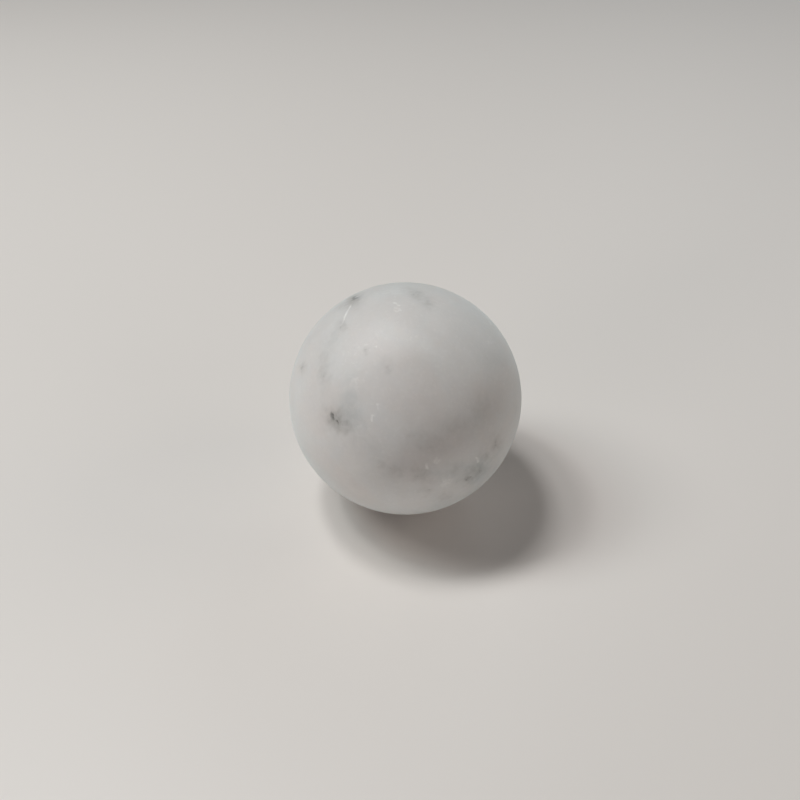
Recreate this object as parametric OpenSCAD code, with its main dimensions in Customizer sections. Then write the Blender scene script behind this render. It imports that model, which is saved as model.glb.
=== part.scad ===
// Cue ball: one solid ball of pale veined stone, honed to a matt skin.
// The origin is the ball's centre and +Z is up, so the ball rests on its lowest point.

/* [Ball] */
// Diameter of the ball, mm: 57.15 is the 2 1/4 inch pool ball
ball_d = 57.15; // [47.6:0.05:68]

/* [Look] */
// Colour of the stone between its veins
stone_colour = "whitesmoke"; // [whitesmoke, ivory, gainsboro]

/* [Quality] */
// Facets round the ball's equator
facets = 160; // [48:16:240]

/* [Hidden] */
ball_r = ball_d / 2;

// One solid piece from a single block: no core, shell, insert or spot.
module ball()
{
    color(stone_colour)
        sphere(r = ball_r, $fn = facets);
}

ball();
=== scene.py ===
import bpy
import numpy as np
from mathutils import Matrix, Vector


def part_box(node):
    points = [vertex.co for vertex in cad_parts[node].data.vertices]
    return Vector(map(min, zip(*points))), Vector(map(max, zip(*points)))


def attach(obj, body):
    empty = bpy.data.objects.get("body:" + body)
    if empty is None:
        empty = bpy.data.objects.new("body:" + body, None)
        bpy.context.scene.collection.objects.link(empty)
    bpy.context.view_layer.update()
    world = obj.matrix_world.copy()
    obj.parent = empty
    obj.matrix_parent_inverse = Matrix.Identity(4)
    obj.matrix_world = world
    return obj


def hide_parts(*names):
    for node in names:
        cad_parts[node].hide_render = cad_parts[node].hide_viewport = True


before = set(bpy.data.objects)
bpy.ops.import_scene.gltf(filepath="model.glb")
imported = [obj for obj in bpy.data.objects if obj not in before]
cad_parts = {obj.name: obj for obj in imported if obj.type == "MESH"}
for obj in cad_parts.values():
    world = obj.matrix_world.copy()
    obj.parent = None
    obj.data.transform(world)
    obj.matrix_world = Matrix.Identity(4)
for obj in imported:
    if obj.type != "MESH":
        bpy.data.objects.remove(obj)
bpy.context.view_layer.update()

scene = bpy.context.scene

lowCorner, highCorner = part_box("ball")
ballRadius = max(highCorner - lowCorner) / 2
mm = 0.001

skin = {
    "cells": 126,            # squares along each side of a patch
    "waveDepth": 0.03 * mm,  # the hand of the honing: slow shallow waves
    "waveLength": 13 * mm,
    "pitFrom": 0.45,         # grains weaker than this leave no pit
    "pitDepth": 0.06 * mm,   # dark mineral is softer, so honing leaves it a little low
    "edgeLength": 2.2 * mm,  # outlines of spots and grains: how long and how deep their bays are
    "edgeWander": 0.35 * mm,
    "cloudLength": 9 * mm,   # the same for the clouds
    "cloudWander": 1.2 * mm,
    "veinLength": 6 * mm,    # and for the white veins
    "veinWander": 0.4 * mm,
    "haloWidth": 3,          # each grey vein has a soft halo this many times its width
    "haloStrength": 0.45,
    "veinSteps": 40,         # points on each stretch of a vein's path, and rounds of smoothing over them
    "veinSmoothing": 60,
    "veinFade": 6,           # a vein fades out over one part in this many at each end
    "veinPatch": 5 * mm,     # how long its strong and weak patches are
}


def pointOn(around, up):
    # Unit direction from the centre: around is degrees to the right of the front, up is degrees above level.
    a, u = np.radians(around), np.radians(up)
    return np.stack([np.sin(a) * np.cos(u), -np.cos(a) * np.cos(u), np.sin(u)], axis=-1)


def ripple(points, length, seed, count=36):
    # Smooth noise of spread 1: the sum of count sine waves, each with its own heading, phase and a wavelength
    # of 0.6 to 1.6 times length, over the root of half their number.
    rng = np.random.default_rng(seed)
    heading = rng.normal(size=(count, 3))
    heading /= np.linalg.norm(heading, axis=1, keepdims=True)
    pitch = 2 * np.pi / (length * rng.uniform(0.6, 1.6, count))
    phase = rng.uniform(0, 2 * np.pi, count)
    return np.sin(points @ (heading * pitch[:, None]).T + phase).sum(axis=1) / np.sqrt(count / 2)


def wander(points, length, reach, seed):
    # The same directions, each pushed aside by about reach: stone never sets in clean curves.
    push = np.stack([ripple(points * ballRadius, length, seed + k) for k in range(3)], axis=-1)
    moved = points * ballRadius + push * reach
    return moved / np.linalg.norm(moved, axis=1, keepdims=True)


def blots(points, marks):
    # The strongest of a list of soft ovals. A mark is (around, up, length, width, heading, strength), with
    # sizes in mm and the heading in degrees from level. At a place x along it and y across it, it is worth
    # strength times exp(-(2x/length)^2 - (2y/width)^2).
    field = np.zeros(len(points))
    for around, up, length, width, heading, strength in marks:
        centre, east = pointOn(around, up), pointOn(around + 90, 0)
        turn = np.radians(heading)
        along = east * np.cos(turn) + np.cross(centre, east) * np.sin(turn)
        across = np.cross(centre, along)
        x = points @ along * ballRadius * 2 / (length * mm)
        y = points @ across * ballRadius * 2 / (width * mm)
        facing = points @ centre > 0
        field = np.maximum(field, facing * strength * np.exp(-x * x - y * y))
    return field


def vein(points, path, width, strength, patchy, seed):
    # A line through a path of (around, up) places. The path is filled in, smoothed and put back on the ball.
    # A point is worth strength times exp(-(2d/width)^2), where d is its way over the skin to the line. It is
    # worth less in patches and towards both ends.
    corners = pointOn(*np.array(path, float).T)
    steps = np.linspace(0, len(path) - 1, skin["veinSteps"] * (len(path) - 1) + 1)
    line = np.stack([np.interp(steps, range(len(path)), c) for c in corners.T], axis=-1)
    for _ in range(skin["veinSmoothing"]):
        line[1:-1] = (line[:-2] + 2 * line[1:-1] + line[2:]) / 4
    line /= np.linalg.norm(line, axis=1, keepdims=True)
    closeness = points @ line.T
    share = closeness.argmax(axis=1) / (len(line) - 1)
    gap = np.arccos(np.clip(closeness.max(axis=1), -1, 1)) * ballRadius
    ends = np.clip(np.minimum(share, 1 - share) * skin["veinFade"], 0, 1)
    patches = np.clip(1 - patchy + patchy * ripple(points * ballRadius, skin["veinPatch"], seed), 0, 1)
    return strength * ends * patches * np.exp(-(gap * 2 / (width * mm)) ** 2)


def cubeSkin(cells):
    # The skin is six square patches, one for each side of a cube. A patch is a function of two parameters,
    # the whole numbers a and b from 0 to cells, with the side's own number at 0 or cells. Neighbours meet in
    # the same whole numbers, so keeping each triple once closes every seam. A triple t becomes the direction
    # of tan(45 degrees times (2t / cells - 1)), which keeps the squares near one size.
    a, b = np.meshgrid(np.arange(cells + 1), np.arange(cells + 1), indexing="ij")
    sides, rings = [], []
    for axis in range(3):
        for end in (0, cells):
            patch = np.empty((cells + 1, cells + 1, 3), int)
            patch[..., axis] = end
            patch[..., (axis + 1) % 3] = a
            patch[..., (axis + 2) % 3] = b
            number = np.arange(patch[..., 0].size).reshape(a.shape) + len(sides) * a.size
            ring = np.stack([number[:-1, :-1], number[1:, :-1], number[1:, 1:], number[:-1, 1:]], axis=-1)
            rings.append((ring if end else ring[..., ::-1]).reshape(-1, 4))
            sides.append(patch.reshape(-1, 3))
    triples, place = np.unique(np.concatenate(sides), axis=0, return_inverse=True)
    points = np.tan(np.pi / 4 * (2 * triples / cells - 1))
    points /= np.linalg.norm(points, axis=1, keepdims=True)
    return points, place.reshape(-1)[np.concatenate(rings)]


# Marks are (around, up, length, width, heading, strength). These are the hard dark grains, in the middle of
# the smoky spots and strewn along the veins.
darkMarks = [
    (-37, 24, 1.8, 1.0, -50, 1.0), (-34, 22, 2.2, 1.1, -40, 0.95), (-31, 21, 1.4, 1.0, -20, 0.6),
    (-118, 61, 4.4, 1.8, 35, 0.95), (-112, 64, 2.0, 1.2, 40, 0.6), (-74, 58, 1.6, 1.0, 20, 0.5),
    (-75, 30, 2.6, 1.2, 20, 0.45), (-53, 37, 1.7, 1.2, 0, 0.42), (-33, 56, 1.0, 0.8, 0, 0.42),
    (-12, 52, 1.2, 0.9, -70, 0.35), (141, 82, 2.8, 1.1, -30, 0.45), (89, 80, 2.0, 1.1, -10, 0.45),
    (170, 86, 1.8, 0.8, 20, 0.35), (3, 23, 1.0, 0.8, -80, 0.42), (7, 20, 1.0, 0.8, -70, 0.3),
    (15, 17, 1.3, 0.9, -30, 0.3), (40, 24, 1.1, 0.8, 40, 0.25), (-11, 9, 1.2, 0.9, 40, 0.35),
    (-6, 6, 1.2, 0.9, 20, 0.38), (0, 4, 1.0, 0.8, 20, 0.35), (7, 8, 1.1, 0.8, -80, 0.42),
    (7, 2, 1.2, 0.8, -50, 0.4), (12, 1, 1.4, 0.9, -50, 0.38), (10, -8, 1.7, 1.0, -75, 0.45),
    (23, 3, 1.5, 0.9, -35, 0.42), (20, -18, 2.4, 1.2, -65, 0.4), (37, -5, 3.0, 1.5, -36, 0.62),
    (31, -7, 3.8, 2.0, -38, 0.6), (47, 5, 2.4, 1.5, -55, 0.55), (40, 2, 1.8, 1.1, -50, 0.45),
    (43, 0, 1.2, 0.9, 0, 0.45), (104, 18, 2.2, 1.5, 30, 0.9), (109, 14, 1.6, 1.2, 70, 0.9),
    (101, 21, 1.2, 0.9, 10, 0.55), (150, 38, 2.0, 1.3, -20, 0.7), (-150, -8, 2.6, 1.7, 60, 0.9),
    (-145, -12, 1.7, 1.1, 20, 0.7), (178, 12, 1.6, 1.1, 0, 0.6), (171, 6, 1.1, 0.8, 0, 0.5),
    (-112, -28, 1.9, 1.3, 40, 0.65), (120, -34, 2.4, 1.5, -30, 0.8), (-30, -52, 2.0, 1.3, 10, 0.7),
    (60, -62, 2.6, 1.6, 60, 0.75), (-160, 44, 1.4, 1.0, 0, 0.5), (80, -20, 1.4, 1.0, 0, 0.5),
    (-95, 2, 1.2, 0.9, 0, 0.45),
]

# Smoky spots: soft and a warm dark grey, like soot under the skin.
smokeMarks = [
    (-34, 23, 6.4, 4.7, -12, 0.95), (-30, 22, 4.0, 3.2, -20, 0.5), (-22, 18, 11.0, 6.5, -25, 0.19),
    (-58, 41, 8.0, 3.4, -38, 0.26), (-53, 37, 3.2, 2.6, 0, 0.34), (-75, 30, 4.6, 2.4, 16, 0.4),
    (-116, 61, 8.4, 4.0, 40, 0.85), (-109, 56, 7.0, 4.0, 37, 0.26), (-74, 58, 3.6, 2.4, 20, 0.42),
    (-68, 52, 6.0, 3.2, -48, 0.2), (2, 53, 11.0, 4.6, 0, 0.1), (-12, 52, 3.0, 2.6, -70, 0.28),
    (-33, 56, 1.8, 1.5, 0, 0.22), (141, 82, 6.6, 3.2, -30, 0.46), (89, 80, 4.4, 2.8, -10, 0.4),
    (40, 26, 7.0, 5.6, 40, 0.22), (25, 24, 9.0, 4.4, -4, 0.21), (3, 23, 1.8, 1.6, 0, 0.24),
    (11, 19, 7.6, 5.0, -27, 0.26), (-10, 8, 3.2, 2.6, 40, 0.22), (-3, 5, 5.0, 3.8, 24, 0.26),
    (8, 3, 6.4, 4.6, -50, 0.34), (23, 3, 4.2, 3.0, -37, 0.26), (10, -8, 3.4, 2.4, -75, 0.28),
    (20, -18, 5.4, 3.4, -64, 0.34), (47, 5, 5.6, 3.8, -54, 0.44), (40, 2, 4.4, 2.6, -50, 0.4),
    (35, -5, 6.6, 4.2, -31, 0.5), (31, -8, 4.6, 3.2, -38, 0.6), (105, 17, 6.5, 4.6, 40, 0.8),
    (150, 38, 4.6, 3.2, -20, 0.5), (-148, -9, 7.0, 4.6, 50, 0.8), (176, 10, 4.4, 3.2, 0, 0.42),
    (-112, -28, 4.6, 3.2, 40, 0.5), (120, -34, 6.0, 4.0, -30, 0.7), (-30, -52, 5.0, 3.6, 10, 0.55),
    (60, -62, 6.4, 4.2, 60, 0.65), (80, -20, 3.0, 2.2, 0, 0.34),
]

# Blue grey clouds: paler, wider and cooler.
cloudMarks = [
    (-28, 30, 7.6, 6.0, 22, 0.58), (-20, 27, 3.2, 2.6, -80, 0.3), (-36, 42, 6.0, 2.8, 20, 0.2),
    (-90, 40, 9.0, 6.0, 77, 0.2), (35, -6, 10.5, 7.2, -31, 0.8), (44, -2, 7.0, 4.6, -50, 0.45),
    (30, 80, 12.0, 7.0, 0, 0.05), (66, 40, 9.0, 5.0, -40, 0.2), (112, 24, 9.0, 6.0, 30, 0.55),
    (143, 32, 7.0, 5.0, -30, 0.45), (-141, -4, 9.0, 6.0, 20, 0.6), (170, 18, 7.0, 5.0, 60, 0.35),
    (-104, -22, 7.0, 5.0, -30, 0.4), (127, -28, 9.0, 6.0, 20, 0.5), (-40, -46, 8.0, 5.0, 30, 0.45),
    (74, -56, 9.0, 6.0, 10, 0.45),
]

# White calcite: short veins and single crystals. The broad ones at (-39, 55) and (78, 46) lie in the
# highlight at the upper left and on the lit upper right edge, where the extra whitening of their crystals
# below is a painted glint.
paleMarks = [
    (-54, 85, 1.9, 1.3, -30, 0.65), (-29, 82, 1.7, 1.1, -55, 0.55), (-15, 35, 1.6, 1.0, -66, 0.62),
    (-17, 29, 1.3, 1.0, 40, 0.62), (-10, 43, 1.2, 1.0, 0, 0.4), (4, 66, 4.0, 1.5, 15, 0.26),
    (78, 46, 5.2, 3.0, -33, 0.35), (46, 38, 1.8, 1.4, 0, 0.3), (10, 7, 1.5, 1.2, -50, 0.7),
    (14, 9, 1.9, 1.4, -30, 0.45), (35, 3, 2.0, 1.2, -50, 0.66), (19, -5, 5.4, 3.8, -64, 0.44),
    (-39, 55, 8.2, 7.0, 0, 0.25), (-28, 60, 1.2, 0.9, 0, 0.7), (-34, 59, 1.0, 0.8, 0, 0.5),
    (-40, 53, 1.2, 0.9, 30, 0.5), (-31, 43, 3.0, 1.8, 16, 0.35), (-150, 80, 7.0, 5.4, -64, 0.3),
    (160, -20, 3.0, 1.4, 30, 0.6), (-100, 5, 2.0, 1.0, 50, 0.6), (100, 45, 2.4, 1.2, -30, 0.5),
    (112, 12, 1.4, 1.0, 0, 0.7), (-143, -15, 1.6, 1.2, 0, 0.7), (130, -8, 6.0, 4.0, 20, 0.35),
    (-70, -30, 5.0, 3.5, 0, 0.35),
]

# Broad patches where the ball is made whiter. The three low on the front are painted bounce light: they stand
# in for light thrown up from the floor onto the ball's lower front. The other four lie round the rest of the
# ball.
paintedBounceAndWhiteMarks = [
    (0, -17, 26.0, 14.0, 0, 0.6), (-30, -7, 24.0, 16.0, -25, 1.0), (-5, -24, 24.0, 12.0, 0, 0.5),
    (14, 67, 16.0, 10.0, 0, 0.5), (150, 10, 30.0, 18.0, 40, 0.7), (-120, 10, 26.0, 16.0, -30, 0.6),
    (90, -50, 26.0, 16.0, 10, 0.6),
]

# Veins are (path, width in mm, strength, patchiness).
greyVeins = [
    ([(-126, 56), (-117, 61), (-92, 61), (-74, 58), (-69, 50), (-58, 41), (-50, 33), (-37, 24)],
     2.2, 0.11, 0.35),
    ([(-18, 10), (-10, 8), (-2, 5), (9, 2), (23, 1), (35, -6), (48, 5), (58, 8)], 2.8, 0.2, 0.35),
    ([(44, 30), (40, 26), (30, 24), (20, 22), (12, 18), (4, 21)], 3.6, 0.09, 0.3),
    ([(-126, 56), (-148, 45), (-163, 28), (-171, 8), (-156, -10), (-135, -22), (-112, -28)], 1.8, 0.5, 0.5),
    ([(58, 8), (80, 12), (105, 18), (124, 30), (150, 38), (172, 50)], 1.8, 0.45, 0.5),
    ([(35, -6), (52, -16), (78, -22), (100, -30), (120, -34), (150, -45), (-170, -48)], 2.2, 0.42, 0.5),
    ([(-112, -28), (-80, -42), (-50, -52), (-28, -52), (10, -62), (60, -63)], 1.8, 0.42, 0.5),
]
whiteVeins = [
    ([(-108, 60), (-97, 62), (-86, 61), (-77, 57)], 0.85, 0.75, 0.05),
    ([(110, 4), (128, -4), (146, -14), (165, -22)], 0.9, 0.7, 0.3),
    ([(-130, 22), (-112, 10), (-98, 3), (-88, -10)], 0.9, 0.6, 0.3),
]


def buildBall():
    points, faces = cubeSkin(skin["cells"])
    strayed = wander(points, skin["edgeLength"], skin["edgeWander"], seed=11)
    drifted = wander(points, skin["cloudLength"], skin["cloudWander"], seed=23)
    swayed = wander(points, skin["veinLength"], skin["veinWander"], seed=31)
    smoke = blots(strayed, smokeMarks)
    cloud = blots(drifted, cloudMarks)
    for number, (path, width, strength, patchy) in enumerate(greyVeins):
        cloud = np.maximum(cloud, vein(strayed, path, width, strength, patchy, seed=40 + number))
        halo = vein(drifted, path, width * skin["haloWidth"], strength * skin["haloStrength"], patchy,
                    seed=60 + number)
        cloud = np.maximum(cloud, halo)
    pale = blots(strayed, paleMarks)
    for number, (path, width, strength, patchy) in enumerate(whiteVeins):
        pale = np.maximum(pale, vein(swayed, path, width, strength, patchy, seed=80 + number))
    dark = blots(strayed, darkMarks)
    # whiter patches: painted bounce light low on the front of the ball
    white = blots(drifted, paintedBounceAndWhiteMarks)

    # Relief only ever cuts inwards, so the ball keeps its diameter.
    rise = ripple(points * ballRadius, skin["waveLength"], seed=5)
    waves = np.clip(rise / 4 + 0.5, 0, 1) * skin["waveDepth"]
    pits = np.clip(dark - skin["pitFrom"], 0, 1) ** 1.5 * skin["pitDepth"]
    placed = points * (ballRadius - waves - pits)[:, None]

    mesh = bpy.data.meshes.new("marble_ball")
    mesh.from_pydata(placed, [], faces)
    mesh.update()
    mesh.polygons.foreach_set("use_smooth", np.ones(len(mesh.polygons), bool))
    fields = {"smoke": smoke, "cloud": cloud, "dark": dark, "pale": pale, "white": white}
    for name, values in fields.items():
        mesh.attributes.new(name, "FLOAT", "POINT").data.foreach_set("value", values.astype(np.float32))
    made = bpy.data.objects.new("marble_ball", mesh)
    scene.collection.objects.link(made)
    return made


stone = {
    "white": (0.655, 0.656, 0.645),
    "warm": (0.648, 0.632, 0.616),
    "cloudGrey": (0.350, 0.398, 0.405),
    "smokeGrey": (0.215, 0.200, 0.180),
    "mineral": (0.060, 0.060, 0.055),
    "calcite": (0.88, 0.88, 0.86),
    # how much of the white each of them covers at its strongest
    "cloudCover": 0.6,
    "smokeCover": 0.62,
    "mineralCover": 0.75,
    "calciteCover": 0.75,
    # how strongly grit breaks up the grains and the flecks, and how little or much fraying leaves of a mark
    "mineralGrit": 0.9,
    "calciteGrit": 0.5,
    "frayed": (0.65, 1.2),
    # changes of tone: the broad whiter patches (painted bounce light low on the front), the mottle's darkest,
    # the crystals, and the few white ones (in the pale patches also painted glints)
    "paintedBounceAndWhiteLift": 0.11,
    "mottleTone": 0.975,
    "crystalTone": 0.02,
    "sugar": 0.015,
    # extra whitening of crystals in the pale patches: painted glints
    "paintedGlintInPale": 0.12,
    # sizes of the patterns in mm
    "driftSize": 13,
    "mottleSize": 3.2,
    "fraySize": 1.3,
    "gritSize": 0.55,
    "grainSize": 0.28,
    "crystalsPerMm": 1.7,
    # the honed finish
    "roughness": (0.47, 0.58),
    "ior": 1.5,
    "subsurface": 0.35,
    "scatter": 1.6 * mm,
    "scatterColour": (1.0, 0.8, 0.65),
    "reliefDepth": 0.012 * mm,
    "reliefStrength": 0.6,
    "grainHeight": 0.6,
    "crystalHeight": 0.25,
    "dust": 0.36,            # the fine bloom that honing leaves, which pales the ball towards its edge
    "dustRoughness": 0.45,
    "dustTint": (0.84, 0.98, 1.0),
}


class NodeBench:
    # A short way to add nodes to one material: each call adds a node and gives back the socket that matters.
    def __init__(self, material):
        material.use_nodes = True
        self.tree = material.node_tree
        self.tree.nodes.clear()

    def add(self, kind, settings=None, **inputs):
        made = self.tree.nodes.new(kind)
        for key, value in (settings or {}).items():
            setattr(made, key, value)
        for key, value in inputs.items():
            self.feed(made.inputs[key.replace("_", " ")], value)
        return made

    def feed(self, socket, value):
        if isinstance(value, bpy.types.NodeSocket):
            self.tree.links.new(value, socket)
        elif isinstance(value, tuple) and len(value) == 3 and socket.type == "RGBA":
            socket.default_value = (*value, 1)
        else:
            socket.default_value = value

    def maths(self, operation, first, second=0.0, third=0.0, clamp=False):
        made = self.tree.nodes.new("ShaderNodeMath")
        made.operation = operation
        made.use_clamp = clamp
        self.feed(made.inputs[0], first)
        self.feed(made.inputs[1], second)
        self.feed(made.inputs[2], third)
        return made.outputs[0]

    def mix(self, share, first, second):
        made = self.tree.nodes.new("ShaderNodeMix")
        made.data_type = "RGBA"
        self.feed(made.inputs["Factor"], share)
        self.feed(made.inputs[6], first)
        self.feed(made.inputs[7], second)
        return made.outputs[2]

    def scaled(self, vector, factor):
        made = self.add("ShaderNodeVectorMath", {"operation": "SCALE"}, Vector=vector, Scale=factor)
        return made.outputs["Vector"]

    def ramp(self, value, low, high, least=0.0, most=1.0):
        made = self.add("ShaderNodeMapRange", {"interpolation_type": "SMOOTHSTEP"}, Value=value)
        for name, number in (("From Min", low), ("From Max", high), ("To Min", least), ("To Max", most)):
            made.inputs[name].default_value = number
        return made.outputs["Result"]

    def noise(self, vector, size, detail=2.0, roughness=0.5, distortion=0.0):
        # size is the width of the pattern's features in mm, on coordinates in mm
        made = self.add("ShaderNodeTexNoise", Vector=vector, Scale=1 / size, Detail=detail,
                        Roughness=roughness, Distortion=distortion)
        return made.outputs["Fac"]

    def attribute(self, name):
        return self.add("ShaderNodeAttribute", {"attribute_name": name}).outputs["Fac"]


def honedMarble():
    material = bpy.data.materials.new("honed_marble")
    bench = NodeBench(material)
    place = bench.add("ShaderNodeTexCoord").outputs["Object"]
    inMm = bench.scaled(place, 1 / mm)

    # the stone between its veins: slow drifts of warm and cool white, a finer mottle, and its crystals
    drift = bench.noise(inMm, stone["driftSize"], detail=3, distortion=0.5)
    colour = bench.mix(bench.ramp(drift, 0.35, 0.65), stone["white"], stone["warm"])
    mottle = bench.noise(inMm, stone["mottleSize"], detail=4, roughness=0.6)
    crystals = bench.add("ShaderNodeTexVoronoi", Vector=inMm, Scale=stone["crystalsPerMm"])
    crystalTone = bench.add("ShaderNodeSeparateColor", Color=crystals.outputs["Color"]).outputs["Red"]

    # blue grey clouds and veins, then the smoky spots, both frayed by a finer noise
    fray = bench.noise(inMm, stone["fraySize"], detail=4, roughness=0.65)
    frayed = bench.ramp(fray, 0.25, 0.75, *stone["frayed"])
    clouded = bench.maths("MULTIPLY", bench.attribute("cloud"), frayed, clamp=True)
    colour = bench.mix(bench.maths("MULTIPLY", clouded, stone["cloudCover"]), colour, stone["cloudGrey"])
    smoked = bench.maths("MULTIPLY", bench.attribute("smoke"), frayed, clamp=True)
    colour = bench.mix(bench.maths("MULTIPLY", smoked, stone["smokeCover"]), colour, stone["smokeGrey"])

    # dark grains and white calcite, hard in the middle and broken up by the stone's own grit
    grit = bench.noise(inMm, stone["gritSize"], detail=3, roughness=0.6)
    evenGrit = bench.maths("SUBTRACT", grit, 0.5)
    broken = bench.maths("MULTIPLY_ADD", evenGrit, stone["mineralGrit"], bench.attribute("dark"))
    gritty = bench.ramp(broken, 0.25, 1.05)
    colour = bench.mix(bench.maths("MULTIPLY", gritty, stone["mineralCover"]), colour, stone["mineral"])
    broken = bench.maths("MULTIPLY_ADD", evenGrit, stone["calciteGrit"], bench.attribute("pale"))
    chalky = bench.ramp(broken, 0.15, 0.8)
    colour = bench.mix(bench.maths("MULTIPLY", chalky, stone["calciteCover"]), colour, stone["calcite"])

    # a few crystals are whiter than the rest, and more so in the pale patches, where the extra whitening is a
    # painted glint standing in for the highlight's sparkle
    sugarAndPaintedGlint = bench.maths("MULTIPLY_ADD", bench.attribute("pale"), stone["paintedGlintInPale"], stone["sugar"])
    sugar = bench.maths("MULTIPLY", bench.ramp(crystalTone, 0.85, 1.0), sugarAndPaintedGlint)
    mottled = bench.ramp(mottle, 0.3, 0.7, stone["mottleTone"], 1.0)
    tone = bench.maths("MULTIPLY_ADD", crystalTone, stone["crystalTone"], mottled)
    tone = bench.maths("ADD", tone, sugar)
    # lift the whiter patches, which low on the front are painted bounce light
    tone = bench.maths("MULTIPLY_ADD", bench.attribute("white"), stone["paintedBounceAndWhiteLift"], tone)
    toned = bench.scaled(colour, tone)

    # the honed skin: even and matt, with the grain just open and the crystals a little proud of each other
    roughness = bench.ramp(mottle, 0.25, 0.75, *stone["roughness"])
    grain = bench.noise(inMm, stone["grainSize"], detail=4, roughness=0.6)
    crystalRise = bench.maths("MULTIPLY", crystalTone, stone["crystalHeight"])
    height = bench.maths("MULTIPLY_ADD", grain, stone["grainHeight"], crystalRise)
    bump = bench.add("ShaderNodeBump", Strength=stone["reliefStrength"], Distance=stone["reliefDepth"],
                     Height=height)

    shader = bench.add("ShaderNodeBsdfPrincipled", Base_Color=toned, Roughness=roughness,
                       Normal=bump.outputs["Normal"])
    shader.inputs["IOR"].default_value = stone["ior"]
    shader.inputs["Sheen Weight"].default_value = stone["dust"]
    shader.inputs["Sheen Roughness"].default_value = stone["dustRoughness"]
    shader.inputs["Sheen Tint"].default_value = (*stone["dustTint"], 1)
    shader.inputs["Subsurface Weight"].default_value = stone["subsurface"]
    shader.inputs["Subsurface Radius"].default_value = stone["scatterColour"]
    shader.inputs["Subsurface Scale"].default_value = stone["scatter"]
    output = bench.add("ShaderNodeOutputMaterial")
    bench.tree.links.new(shader.outputs["BSDF"], output.inputs["Surface"])
    return material


ball = buildBall()
ball.data.materials.append(honedMarble())
print("ball:", len(ball.data.polygons), "faces, radius", round(ballRadius / mm, 3), "mm")
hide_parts("ball")
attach(ball, "root")


studio = {
    "floorRadius": 0.72,
    "floorSides": 128,
    "floorColour": (0.76, 0.73, 0.70),
    "floorRoughness": 0.5,
    "surround": (0.56, 0.55, 0.53),
    # each light: degrees round from the front, degrees up, distance and width in metres, watts and colour
    "lights": {
        "keyHigh": (-124, 71, 1.2, 0.24, 4.2, (1.0, 0.99, 0.98)),
        "keyMiddle": (-104, 62, 1.2, 0.20, 2.6, (1.0, 0.97, 0.96)),
        "keyLow": (-100, 55, 1.2, 0.30, 2.4, (0.88, 0.99, 1.0)),
        "keyLowest": (-92, 45, 1.2, 0.30, 2.25, (1.0, 0.98, 0.96)),
        "fillLeft": (-45, 10, 1.2, 0.50, 2.6, (1.0, 0.89, 0.86)),
        "fillFront": (60, 18, 1.2, 0.70, 1.6, (1.0, 0.94, 0.93)),
        "fillRight": (95, 26, 1.2, 0.60, 1.8, (1.0, 0.89, 0.78)),
        "fillFar": (130, 20, 1.2, 0.70, 0.95, (0.84, 0.92, 1.0)),
        "back": (158, 30, 1.2, 0.50, 0.75, (0.86, 0.95, 1.0)),
    },
}


def makeFloor():
    # A flat disc just under the ball: radius times (cos t, sin t) for t once round.
    turns = np.linspace(0, 2 * np.pi, studio["floorSides"], endpoint=False)
    rim = np.stack([np.cos(turns), np.sin(turns), np.zeros(len(turns))], axis=-1) * studio["floorRadius"]
    rim[:, 2] = lowCorner.z
    mesh = bpy.data.meshes.new("floor")
    mesh.from_pydata(rim, [], [range(len(turns))])
    made = bpy.data.objects.new("floor", mesh)
    scene.collection.objects.link(made)
    material = bpy.data.materials.new("floor")
    bench = NodeBench(material)
    shader = bench.add("ShaderNodeBsdfPrincipled", Base_Color=studio["floorColour"],
                       Roughness=studio["floorRoughness"])
    output = bench.add("ShaderNodeOutputMaterial")
    bench.tree.links.new(shader.outputs["BSDF"], output.inputs["Surface"])
    mesh.materials.append(material)


def addLight(name, around, up, distance, width, watts, colour):
    lamp = bpy.data.lights.new(name, "AREA")
    lamp.shape = "DISK"
    lamp.size = width
    lamp.energy = watts
    lamp.color = colour
    made = bpy.data.objects.new(name, lamp)
    made.location = Vector(pointOn(around, up)) * distance
    # an area light shines along its own -Z
    made.rotation_euler = made.location.to_track_quat("Z", "Y").to_euler()
    scene.collection.objects.link(made)


def makeSurround():
    # A plain pale colour behind everything. It lights nothing: the lamps do that.
    world = bpy.data.worlds.new("surround")
    world.use_nodes = True
    world.node_tree.nodes["Background"].inputs["Color"].default_value = (*studio["surround"], 1)
    for ray in ("diffuse", "glossy", "transmission", "scatter"):
        setattr(world.cycles_visibility, ray, False)
    scene.world = world


makeFloor()
makeSurround()
for name, facts in studio["lights"].items():
    addLight(name, *facts)
scene.view_settings.view_transform = "Standard"
print("studio:", len(studio["lights"]), "lights")


shot = {
    "lens": 36.0,
    "sensor": 36.0,
    "up": 39.0,
    "distance": 198.8 * mm,
    "aim": (-1.3 * mm, 0, -0.5 * mm),
    "clipStart": 10 * mm,
}

lens = bpy.data.cameras.new("camera")
lens.lens = shot["lens"]
lens.sensor_width = shot["sensor"]
lens.clip_start = shot["clipStart"]
camera = bpy.data.objects.new("camera", lens)
camera.location = Vector(pointOn(0, shot["up"])) * shot["distance"]
camera.rotation_euler = (Vector(shot["aim"]) - camera.location).to_track_quat("-Z", "Y").to_euler()
scene.collection.objects.link(camera)
scene.camera = camera
print("camera:", shot["up"], "degrees up")
